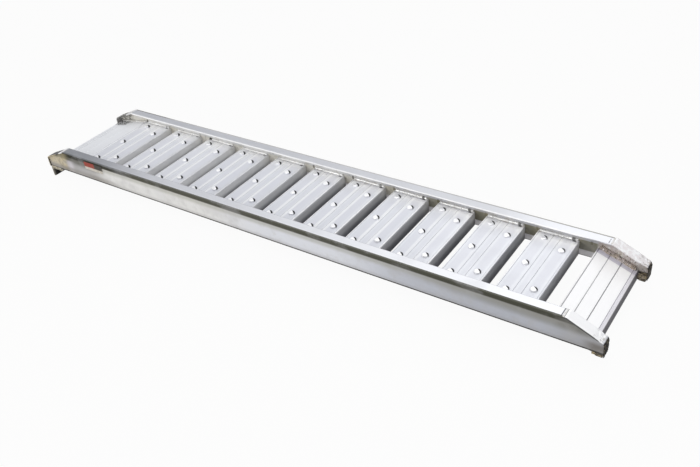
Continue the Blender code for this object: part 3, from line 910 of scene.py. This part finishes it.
class RAMP_OT_add_tread_welds(bpy.types.Operator):
    """Add the weld beads at both ends of every tread"""

    bl_idname = "ramp.add_tread_welds"
    bl_label = "Add Tread Welds"

    def execute(self, context):
        detail = context.scene.ramp_detail
        base = bead("tread_bead", TREAD_WIDTH - 0.006, detail.bead_radius, detail.ripple_pitch, dip=0.84)
        black = (0.02, 0.018, 0.014)
        right, left = ("step", 0.111, 0.118, 0.003), ("step", 0.004, 0.017, 0.003)
        pits = [
            coat(black, 0.75, right, ("x", 0.3, 1.0, 0.35), dull=0.9),
            coat(black, 0.4, right, up_to("x", -0.7, 0.02)),
            coat(black, 0.95, left, ("x", -0.62, -0.54, 0.01), dull=0.9),
            coat(black, 0.3, ("step", 0.006, 0.016, 0.004), ("x", -0.45, -0.2, 0.01)),
        ]
        metal = context.scene.ramp_metal
        material = weld_material("tread_weld_finish", (0.95, 0.95, 0.94), metal, 0.1, pits)
        for name in TREADS:
            low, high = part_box(name)
            middle = (low.x + high.x) / 2
            for label, side in SIDES:
                made = copy_of(base, f"weld_{name}_{label}", (middle, side * TREAD_END, TREAD_TOP))
                roughen(made, lumps("weld_lumps", 0.006), 0.0032, middle=0.45)
                trim(made, (0.0, side * TREAD_END, 0.0), (0.0, side, 0.0))
                trim(made, (0.0, 0.0, TREAD_TOP - 0.001), (0.0, 0.0, -1.0))
                finish_bead(made, material)
        drop(base)
        return {"FINISHED"}


class RAMP_OT_add_plate_welds(bpy.types.Operator):
    """Add the weld beads along the ends of the sloping plates"""

    bl_idname = "ramp.add_plate_welds"
    bl_label = "Add Plate Welds"

    def execute(self, context):
        metal = context.scene.ramp_metal
        pitch = context.scene.ramp_detail.ripple_pitch * 1.2
        brown = weld_material("ground_weld_finish", (0.72, 0.66, 0.64), metal, 0.52)
        pale = weld_material("hook_weld_finish", (0.8, 0.8, 0.78), metal, 0.22)
        kinds = {"ground": (brown, 0.0115), "hook": (pale, 0.0064)}
        for end, way, start_x, long, slope, _ in PLATES:
            material, radius = kinds[end]
            angle = math.radians(slope)
            middle = (long - 0.004) / 2
            x = start_x + way * middle * math.cos(angle)
            z = PLATE_TOP - middle * math.sin(angle)
            down = (-way * math.sin(angle), 0.0, -math.cos(angle))
            for label, side in SIDES:
                name = f"{end}_plate_weld_{label}"
                base = bead(f"{name}_bead", long - 0.012, radius, pitch, dip=0.82)
                base.rotation_euler = (0.0, way * angle, 0.0)
                base.location = (x, side * TREAD_END, z)
                settle(base)
                roughen(base, lumps("rough_lumps", 0.007, 3), radius * 0.55)
                trim(base, (0.0, side * TREAD_END, 0.0), (0.0, side, 0.0))
                trim(base, (x + down[0] * 0.001, 0.0, z + down[2] * 0.001), down)
                finish_bead(base, material)
                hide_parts(name)
        return {"FINISHED"}


class RAMP_OT_add_seam_welds(bpy.types.Operator):
    """Add the low beads across the flanges and along the claws"""

    bl_idname = "ramp.add_seam_welds"
    bl_label = "Add Seam and Claw Welds"

    def execute(self, context):
        metal = context.scene.ramp_metal
        fine = lumps("seam_lumps", 0.005)
        material = weld_material("seam_weld_finish", (0.8, 0.8, 0.8), metal, 0.25)
        for end in ("ground", "hook"):
            for label, _ in SIDES:
                node = f"{end}_seam_weld_{label}"
                low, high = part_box(node)
                long, radius = high.y - low.y - 0.0008, (high.x - low.x) / 2
                base = bead(f"{node}_bead", long, radius, pitch=0.004, dip=0.86)
                base.rotation_euler = (0.0, 0.0, math.pi / 2)
                base.scale = (1.0, 0.92, 0.34)
                base.location = ((low.x + high.x) / 2, (low.y + high.y) / 2, low.z - 0.0004)
                settle(base)
                roughen(base, fine, 0.0006)
                trim(base, (0.0, 0.0, RAIL_HIGH.z + 0.0002), (0.0, 0.0, -1.0))
                finish_bead(base, material)
                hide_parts(node)
        darker = weld_material("claw_weld_finish", (0.5, 0.47, 0.38), metal, 0.6)
        for label, side in SIDES:
            node = f"claw_weld_{label}"
            low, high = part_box(node)
            face = side * (WEB_OUTER + 0.0003)
            base = bead(f"{node}_bead", high.x - low.x, 0.0042, pitch=0.0045, dip=0.8)
            base.scale = (1.0, 0.62, 1.0)
            base.location = ((low.x + high.x) / 2, face, RAIL_LOW.z - 0.0004)
            settle(base)
            roughen(base, fine, 0.0012)
            trim(base, (0.0, face, 0.0), (0.0, -side, 0.0))
            finish_bead(base, darker)
            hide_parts(node)
        return {"FINISHED"}


def ground_cap_layers(grime):
    """The caps at the ground end: blotched tops, a seam line, black noses painted as shade, painted shade on
    the outer edges and dirty undersides.
    """
    black = (0.014, 0.012, 0.01)
    nose = past("x", 1.1375, 0.005)
    return [
        coat((0.95, 0.95, 0.95), 0.8, up_to("x", 1.135, 0.01), dull=0.6),
        coat((0.66, 0.59, 0.59), 0.42, ON_FAR_RAIL, blotch=(75.0, 0.46, 0.06)),
        coat((0.12, 0.12, 0.12), 0.7, ("x", 1.03, 1.0318, 0.0005)),
        # Painted shade: the nose, which faces away from the light, painted black
        coat(black, 0.99, nose, up_to("z", 0.0865, 0.002), dull=1.0, rough=0.95),
        coat(grime, 0.5, past("x", 1.122, 0.02), blotch=(85.0, 0.58, 0.05)),
        coat((0.34, 0.28, 0.17), 0.6, past("x", 1.137, 0.006), blotch=(150.0, 0.6, 0.03)),
        # Painted shade on the outer edge, going on from the shade under the lip
        coat(black, 0.92, OUTER_EDGE, up_to("x", 1.13, 0.01)),
        coat(
            (0.07, 0.06, 0.05), 0.92, up_to("z", 0.062, 0.01), past("x", 1.1, 0.02), ON_FAR_RAIL,
            blotch=(140.0, 0.43, 0.04)
        ),
    ]


def hook_cap_layers():
    """The caps at the hook end: the far one mottled with soot and with a painted highlight at its tip, the near
    one dark with a muddy edge.
    """
    return [
        coat((0.8, 0.79, 0.77), 0.8, ON_FAR_RAIL, up_to("x", -1.04, 0.01)),
        coat(SOOT, 0.92, ON_FAR_RAIL, up_to("x", -1.045, 0.015), blotch=(150.0, 0.42, 0.03)),
        # Painted highlight at the far cap's tip
        coat((0.97, 0.97, 0.95), 0.4, ON_FAR_RAIL, up_to("x", -1.125, 0.004)),
        coat((0.014, 0.012, 0.01), 0.88, up_to("x", -1.058, 0.01), ON_NEAR_RAIL),
        coat((0.95, 0.95, 0.95), 0.7, ("x", -1.058, -1.04, 0.006)),
        coat(DRIED_MUD, 0.85, OUTER_EDGE, ("x", -1.145, -1.04, 0.001), up_to("z", 0.112, 0.006)),
    ]


class RAMP_OT_add_worn_caps(bpy.types.Operator):
    """Add the bent end caps with their worn, rough noses and their painted light and shade"""

    bl_idname = "ramp.add_worn_caps"
    bl_label = "Add Worn End Caps"

    def execute(self, context):
        metal = context.scene.ramp_metal
        lump_height = context.scene.ramp_detail.shoe_roughness
        shared = {"roughness": metal.rail_roughness, "metallic": 0.85, "stretch": GRAIN_ALONG}
        shared.update(streaks=0.12, depth=0.0005)
        ground = alloy("ground_cap_finish", metal.rail_colour, ground_cap_layers(metal.grime_colour), **shared)
        hook = alloy("hook_cap_finish", metal.rail_colour, hook_cap_layers(), **shared)
        for end, material, worn_from in (("ground", ground, 1.112), ("hook", hook, 1.05)):
            for label, _ in SIDES:
                name = f"{end}_cap_{label}"
                cap = self.merged_copy(name, f"{name}_worn")
                use(cap, "REMESH", mode="VOXEL", voxel_size=0.0013)
                nose = cap.vertex_groups.new(name="nose")
                for vertex in cap.data.vertices:
                    part = min(1.0, max(0.0, (abs(vertex.co.x) - worn_from) / 0.02))
                    nose.add([vertex.index], part, "REPLACE")
                rough = lump_height * (1.0 if name == "hook_cap_near" else 2.2)
                roughen(cap, lumps("nose_lumps", 0.0075, 4), rough, middle=0.95, vertex_group="nose")
                smooth(cap, 50)
                finish_piece(cap, material)
                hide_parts(name)
        return {"FINISHED"}

    def merged_copy(self, node_name, name):
        """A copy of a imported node's mesh with its doubles merged."""
        made = bpy.data.objects.new(name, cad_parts[node_name].data.copy())
        rename(made, name)
        bpy.context.scene.collection.objects.link(made)
        edit(made)
        bpy.ops.mesh.remove_doubles(threshold=0.00001)
        leave_edit()
        return made


class RAMP_OT_add_shoes(bpy.types.Operator):
    """Add the rough worn shoes under the ground end"""

    bl_idname = "ramp.add_shoes"
    bl_label = "Add Worn Shoes"

    def execute(self, context):
        lump_height = context.scene.ramp_detail.shoe_roughness
        worn_down, gap = 0.003, 0.0016
        layers = [
            coat((0.48, 0.39, 0.22), 0.8, blotch=(60.0, 0.52, 0.06)),
            coat((0.06, 0.05, 0.04), 0.9, blotch=(110.0, 0.48, 0.05)),
            coat((0.04, 0.035, 0.028), 0.92, up_to("z", 0.0355, 0.002)),
        ]
        material = alloy(
            "shoe_aluminium_finish", (0.4, 0.35, 0.26), layers, roughness=0.6,
            metallic=0.5, stretch=(120.0,) * 3, streaks=0.5, depth=0.002
        )
        for label, _ in SIDES:
            node = f"ground_shoe_{label}"
            low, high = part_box(node)
            low.z -= worn_down
            deselect_all()
            bpy.ops.mesh.primitive_cube_add(size=1.0, location=(low + high) / 2)
            shoe = bpy.context.object
            shoe.scale = [size - gap for size in high - low]
            start(f"{node}_worn")
            edit(shoe)
            bpy.ops.mesh.subdivide(number_cuts=7)
            back, floor = low.x + 0.01, low.z + 0.003
            choose(shoe, "verts", lambda v: v.co.x < back and v.co.z < floor)
            bpy.ops.transform.translate(value=(0.0, 0.0, 0.0035))
            leave_edit()
            use(shoe, "BEVEL", width=0.0012, segments=2, limit_method="ANGLE")
            roughen(shoe, lumps("shoe_lumps", 0.006, 4), lump_height)
            smooth(shoe, 60)
            finish_piece(shoe, material)
            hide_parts(node)
        return {"FINISHED"}


class RAMP_OT_add_label(bpy.types.Operator):
    """Add the blank two-colour film on the near rail"""

    bl_idname = "ramp.add_label"
    bl_label = "Add Blank Film"

    def execute(self, context):
        low, high = LABEL_LOW, LABEL_HIGH
        deselect_all()
        bpy.ops.mesh.primitive_plane_add(size=1.0, location=(low + high) / 2, rotation=(math.pi / 2, 0.0, 0.0))
        film = bpy.context.object
        film.scale = (high.x - low.x, high.z - low.z, 1.0)
        start("film_near")
        edit(film)
        bpy.ops.mesh.bevel(offset=0.003, segments=4, affect="VERTICES")
        leave_edit()
        use(film, "SOLIDIFY", thickness=0.0004, offset=0.0)
        smooth(film, 30)
        finish_piece(film, self.film_material(context.scene.ramp_metal.grime_colour))
        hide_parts("blank_label")
        return {"FINISHED"}

    def film_material(self, grime):
        """A black film with a red part over a cream edge, worn in blotches."""
        black, red, cream = (0.035, 0.033, 0.03, 1.0), (0.32, 0.035, 0.02, 1.0), (0.62, 0.58, 0.52, 1.0)
        made, tree, shader = new_material("label_film_finish")
        place = places(tree)
        worn = place_blotch(tree, place["vector"], 60.0, 0.55, 0.12)
        red_part = place_band(tree, place["x"], -0.93, -0.858, 0.001)
        upper_part = place_band(tree, place["z"], 0.104, OPEN, 0.001)
        tint = blend(tree, upper_part, cream, blend(tree, red_part, black, red))
        tint = blend(tree, calc(tree, "MULTIPLY", worn, 0.35), tint, (*grime, 1.0))
        tree.links.new(tint, shader.inputs["Base Color"])
        tree.links.new(spread(tree, worn, 0.0, 1.0, 0.35, 0.6), shader.inputs["Roughness"])
        return made


# How much of the plain white shows: to the camera, and to mirrored and passing rays
FLOOR_WHITE = (0.95, 0.06)
SKY_WHITE = (1.0, 0.05)
WINDOW = (-0.22, 0.7, 0.68)
HOOK_END_GLOW = (-0.85, -0.52, 0.05)
IMAGE_WIDTH = 700
CAMERA_PLACE = (1.56758, -1.76309, 1.60599)
CAMERA_TURN = (54.26521193, 5.43179751, 33.99435818)


def turned(degrees):
    """Angles in degrees as a turn about X, Y and Z."""
    return tuple(math.radians(angle) for angle in degrees)


def white_for_camera(tree, base, white_kind, shares, surface):
    """Shows plain white in place of a shader to camera rays, and by a share to mirrored and passing rays."""
    camera_share, mirror_share = shares
    path = put(tree, "ShaderNodeLightPath").outputs
    camera = calc(tree, "MULTIPLY", path["Is Camera Ray"], camera_share)
    other = calc(tree, "MAXIMUM", path["Is Glossy Ray"], path["Is Transmission Ray"])
    mirrored = calc(tree, "MULTIPLY", other, mirror_share)
    white = put(tree, white_kind, {"Color": (1.0, 1.0, 1.0, 1.0), "Strength": 1.0}).outputs[0]
    sockets = {0: calc(tree, "MAXIMUM", camera, mirrored), 1: base, 2: white}
    tree.links.new(put(tree, "ShaderNodeMixShader", sockets).outputs[0], surface)


class RAMP_OT_set_stage(bpy.types.Operator):
    """Set the floor, the light and the camera"""

    bl_idname = "ramp.set_stage"
    bl_label = "Set Stage"

    def execute(self, context):
        scene = context.scene
        stage = scene.ramp_stage
        self.floor(stage)
        self.sky(scene, stage)
        self.lamps(stage)
        self.camera(scene, stage)
        scene.view_settings.view_transform = "Standard"
        return {"FINISHED"}

    def floor(self, stage):
        """A round floor just under the claws."""
        deselect_all()
        radius, below_claws = stage.floor_size / 2, (0.0, 0.0, -0.0006)
        bpy.ops.mesh.primitive_circle_add(
            vertices=stage.floor_segments, radius=radius, fill_type="NGON", location=below_claws
        )
        floor = start("pale_floor")
        made, tree, shader = new_material("pale_floor")
        shader.inputs["Base Color"].default_value = (*stage.floor_colour, 1.0)
        shader.inputs["Roughness"].default_value = 0.9
        surface = tree.nodes["Material Output"].inputs["Surface"]
        white_for_camera(tree, shader.outputs[0], "ShaderNodeEmission", FLOOR_WHITE, surface)
        floor.data.materials.append(made)

    def sky(self, scene, stage):
        """Soft light from all round: pale above, dim in front, with a window and a glow at the hook end."""
        world = bpy.data.worlds.new("studio")
        world.use_nodes = True
        scene.world = world
        tree = world.node_tree
        vector = put(tree, "ShaderNodeTexCoord").outputs["Generated"]
        _, across, up = put(tree, "ShaderNodeSeparateXYZ", {0: vector}).outputs
        window = self.towards(tree, vector, WINDOW)
        glow = self.towards(tree, vector, HOOK_END_GLOW)
        front = spread(tree, across, -0.35, 0.25, 1.0, 0.0)
        light = (0.31, 0.32, 0.36, 1.0)
        for mask, colour in (
            (spread(tree, up, 0.45, 0.65), (1.3, 1.3, 1.29)),
            (spread(tree, up, 0.7, 0.86), (0.62, 0.63, 0.66)),
            (spread(tree, window, 0.9, 0.995), (1.6, 1.6, 1.59)),
            (calc(tree, "MULTIPLY", front, 0.5), (0.1, 0.1, 0.1)),
            (spread(tree, glow, 0.45, 0.95), (1.15, 1.13, 1.1)),
        ):
            light = blend(tree, mask, light, (*colour, 1.0))
        sky = tree.nodes["Background"]
        tree.links.new(light, sky.inputs["Color"])
        sky.inputs["Strength"].default_value = stage.sky_strength
        surface = tree.nodes["World Output"].inputs["Surface"]
        white_for_camera(tree, sky.outputs[0], "ShaderNodeBackground", SKY_WHITE, surface)

    def towards(self, tree, vector, way):
        """How nearly a direction points one way."""
        node = put(tree, "ShaderNodeVectorMath", {0: vector, 1: way}, operation="DOT_PRODUCT")
        return node.outputs["Value"]

    def lamps(self, stage):
        """A high key light and two softboxes."""
        deselect_all()
        bpy.ops.object.light_add(type="SUN", location=(-0.4, -1.6, 4.0), rotation=turned((21.5, 0.0, -14.0)))
        key = bpy.context.object
        key.name = "key_light"
        key.data.energy = stage.key_strength
        key.data.angle = stage.key_angle
        key.data.color = (1.0, 0.99, 0.97)
        self.softbox("top_softbox", (1.2, -0.2, 2.1), (0.0, 0.0, 0.0), 1.4, stage.top_power)
        self.softbox("side_softbox", (-1.2, -3.1, 1.0), (75.0, 0.0, -12.0), 2.0, stage.side_power)

    def softbox(self, name, location, degrees, size, power):
        """A square soft light that shines along its own -Z."""
        bpy.ops.object.light_add(type="AREA", location=location, rotation=turned(degrees))
        lamp = bpy.context.object
        lamp.name = name
        lamp.data.shape = "SQUARE"
        lamp.data.size = size
        lamp.data.energy = power

    def camera(self, scene, stage):
        """The camera at the photograph's angle, half a pixel off centre."""
        bpy.ops.object.camera_add(location=CAMERA_PLACE, rotation=turned(CAMERA_TURN))
        camera = bpy.context.object
        camera.name = "camera"
        camera.data.lens = stage.lens
        camera.data.sensor_width = 36.0
        camera.data.shift_x = -0.5 / IMAGE_WIDTH
        camera.data.shift_y = 0.5 / IMAGE_WIDTH
        camera.data.clip_end = 100.0
        scene.camera = camera


class RAMP_PT_looks(bpy.types.Panel):
    """Panel that lists the steps of dressing the ramp"""

    bl_idname = "RAMP_PT_looks"
    bl_label = "Loading Ramp"
    bl_space_type = "VIEW_3D"
    bl_region_type = "UI"
    bl_category = "Ramp"

    def draw(self, context):
        layout = self.layout
        for step in STEPS:
            layout.operator(step.bl_idname)
        for group in (context.scene.ramp_metal, context.scene.ramp_detail, context.scene.ramp_stage):
            for key in group.bl_rna.properties.keys():
                if key not in ("rna_type", "name"):
                    layout.prop(group, key)


STEPS = (
    RAMP_OT_finish_rails,
    RAMP_OT_finish_treads,
    RAMP_OT_finish_claws,
    RAMP_OT_add_studs,
    RAMP_OT_add_tread_welds,
    RAMP_OT_add_plate_welds,
    RAMP_OT_add_seam_welds,
    RAMP_OT_add_worn_caps,
    RAMP_OT_add_shoes,
    RAMP_OT_add_label,
    RAMP_OT_set_stage,
)
CLASSES = (RampMetal, RampDetail, RampStage, *STEPS, RAMP_PT_looks)


def register():
    for item in CLASSES:
        bpy.utils.register_class(item)
    bpy.types.Scene.ramp_metal = PointerProperty(type=RampMetal)
    bpy.types.Scene.ramp_detail = PointerProperty(type=RampDetail)
    bpy.types.Scene.ramp_stage = PointerProperty(type=RampStage)


def unregister():
    del bpy.types.Scene.ramp_stage
    del bpy.types.Scene.ramp_detail
    del bpy.types.Scene.ramp_metal
    for item in reversed(CLASSES):
        bpy.utils.unregister_class(item)


def main():
    register()
    make_groups()
    bpy.ops.ramp.finish_rails()
    bpy.ops.ramp.finish_treads()
    bpy.ops.ramp.finish_claws()
    bpy.ops.ramp.add_studs()
    bpy.ops.ramp.add_tread_welds()
    bpy.ops.ramp.add_plate_welds()
    bpy.ops.ramp.add_seam_welds()
    bpy.ops.ramp.add_worn_caps()
    bpy.ops.ramp.add_shoes()
    bpy.ops.ramp.add_label()
    bpy.ops.ramp.set_stage()


if __name__ == "__main__":
    main()
